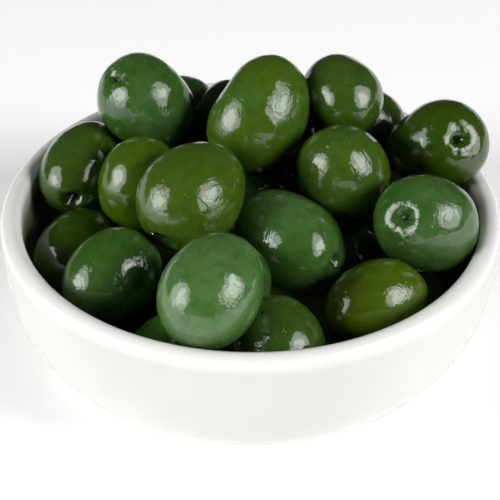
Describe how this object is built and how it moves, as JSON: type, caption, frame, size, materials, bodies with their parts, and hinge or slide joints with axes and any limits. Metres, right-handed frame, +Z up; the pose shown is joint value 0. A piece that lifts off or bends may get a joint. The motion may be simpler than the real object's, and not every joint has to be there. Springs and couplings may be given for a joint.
{
  "type": "dish of olives",
  "caption": "Small round white bowl with a thick rounded lip, heaped above its rim with whole green olives.",
  "frame": {"origin": "middle of the bowl's flat base, on the surface it stands on", "axes": "+Z up through the bowl; the picture looks along +Y from the front and above, with +X to the right"},
  "size_m": [0.12, 0.12, 0.0678],
  "materials": {
    "glaze": "glossy",
    "olive_skin": "wet, glossy food skin"
  },
  "bodies": {
    "root": {"bowl": "glaze", "olives": "olive_skin"}
  },
  "joints": []
}
